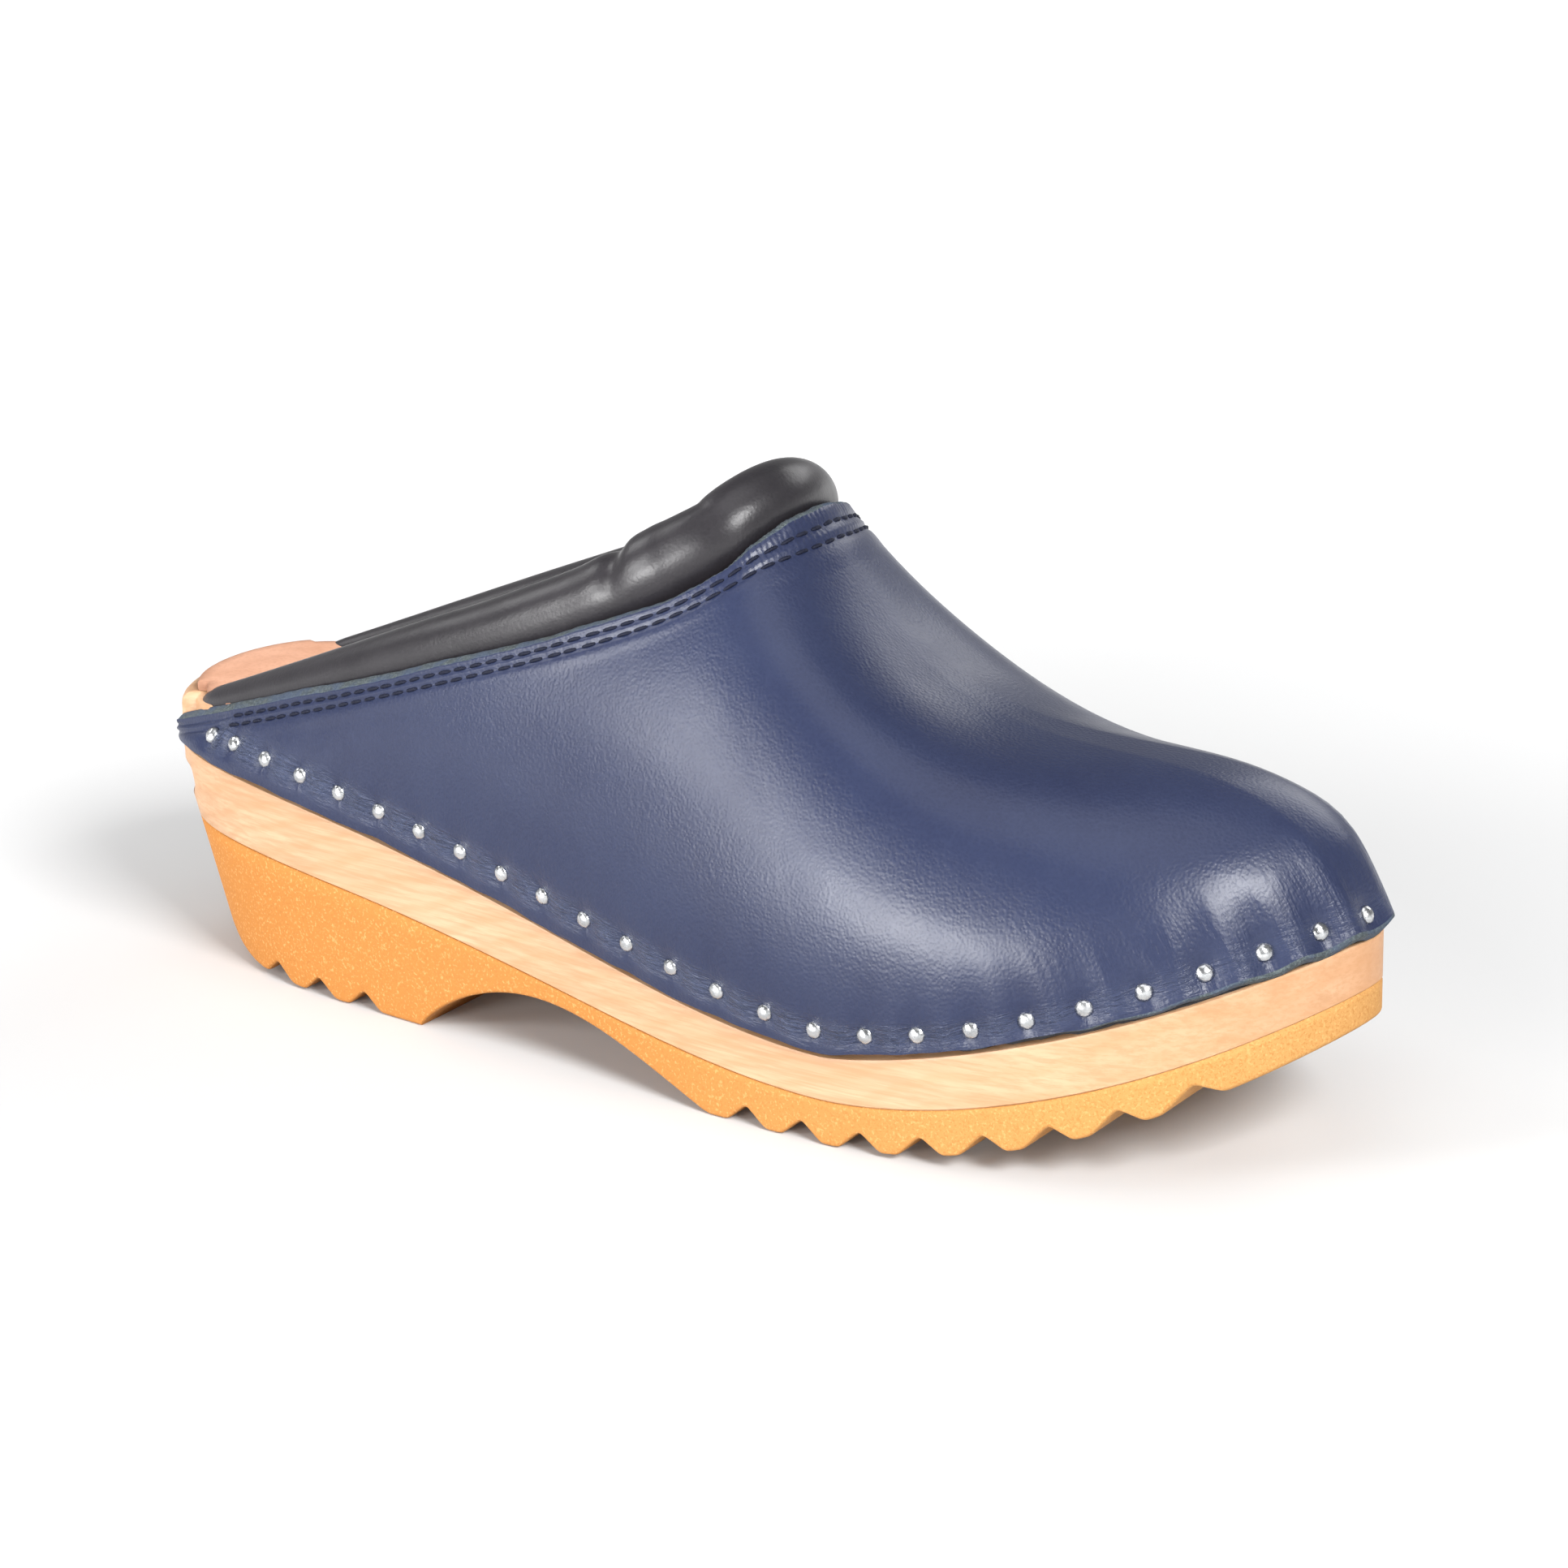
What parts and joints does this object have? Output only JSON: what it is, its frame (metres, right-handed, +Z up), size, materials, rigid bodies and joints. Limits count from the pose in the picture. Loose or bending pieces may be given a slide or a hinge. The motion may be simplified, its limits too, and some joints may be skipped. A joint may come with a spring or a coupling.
{
  "type": "wooden clog",
  "caption": "Closed-toe, open-back clog for the right foot: padded leather upper nailed round a carved wooden sole with a notched soft outsole.",
  "frame": {"origin": "on the floor, under the middle of the clog's bounding box", "axes": "+X to the toe, +Y to the inner side of the foot, +Z up; the clog stands on z = 0"},
  "size_m": [0.2662, 0.0978, 0.1163],
  "materials": {
    "wood": "pale smooth-sanded alder, thinly varnished",
    "outsole_rubber": "matt ochre with fine speckle",
    "insole_leather": "matt vegetable-tanned",
    "upper_leather": "navy, fine-grained, semi-gloss",
    "lining_leather": "matt black",
    "collar_leather": "charcoal-black satin",
    "foam": "hidden padding",
    "thread": "dark navy waxed thread",
    "nail_steel": "domed nail heads"
  },
  "bodies": {
    "root": {"wooden_sole": "wood", "outsole": "outsole_rubber", "insole": "insole_leather", "upper": "upper_leather", "lining": "lining_leather", "collar_leather": "collar_leather", "collar_foam": "foam", "stitch_row_1": "thread", "stitch_row_2": "thread", "nail_01": "nail_steel", "nail_02": "nail_steel", "nail_03": "nail_steel", "nail_04": "nail_steel", "nail_05": "nail_steel", "nail_06": "nail_steel", "nail_07": "nail_steel", "nail_08": "nail_steel", "nail_09": "nail_steel", "nail_10": "nail_steel", "nail_11": "nail_steel", "nail_12": "nail_steel", "nail_13": "nail_steel", "nail_14": "nail_steel", "nail_15": "nail_steel", "nail_16": "nail_steel", "nail_17": "nail_steel", "nail_18": "nail_steel", "nail_19": "nail_steel", "nail_20": "nail_steel", "nail_21": "nail_steel", "nail_22": "nail_steel", "nail_23": "nail_steel", "nail_24": "nail_steel", "nail_25": "nail_steel", "nail_26": "nail_steel", "nail_27": "nail_steel", "nail_28": "nail_steel", "nail_29": "nail_steel", "nail_30": "nail_steel", "nail_31": "nail_steel", "nail_32": "nail_steel", "nail_33": "nail_steel", "nail_34": "nail_steel", "nail_35": "nail_steel", "nail_36": "nail_steel", "nail_37": "nail_steel", "nail_38": "nail_steel", "nail_39": "nail_steel", "nail_40": "nail_steel", "nail_41": "nail_steel", "nail_42": "nail_steel", "nail_43": "nail_steel", "nail_44": "nail_steel", "nail_45": "nail_steel", "nail_46": "nail_steel", "nail_47": "nail_steel"}
  },
  "joints": []
}
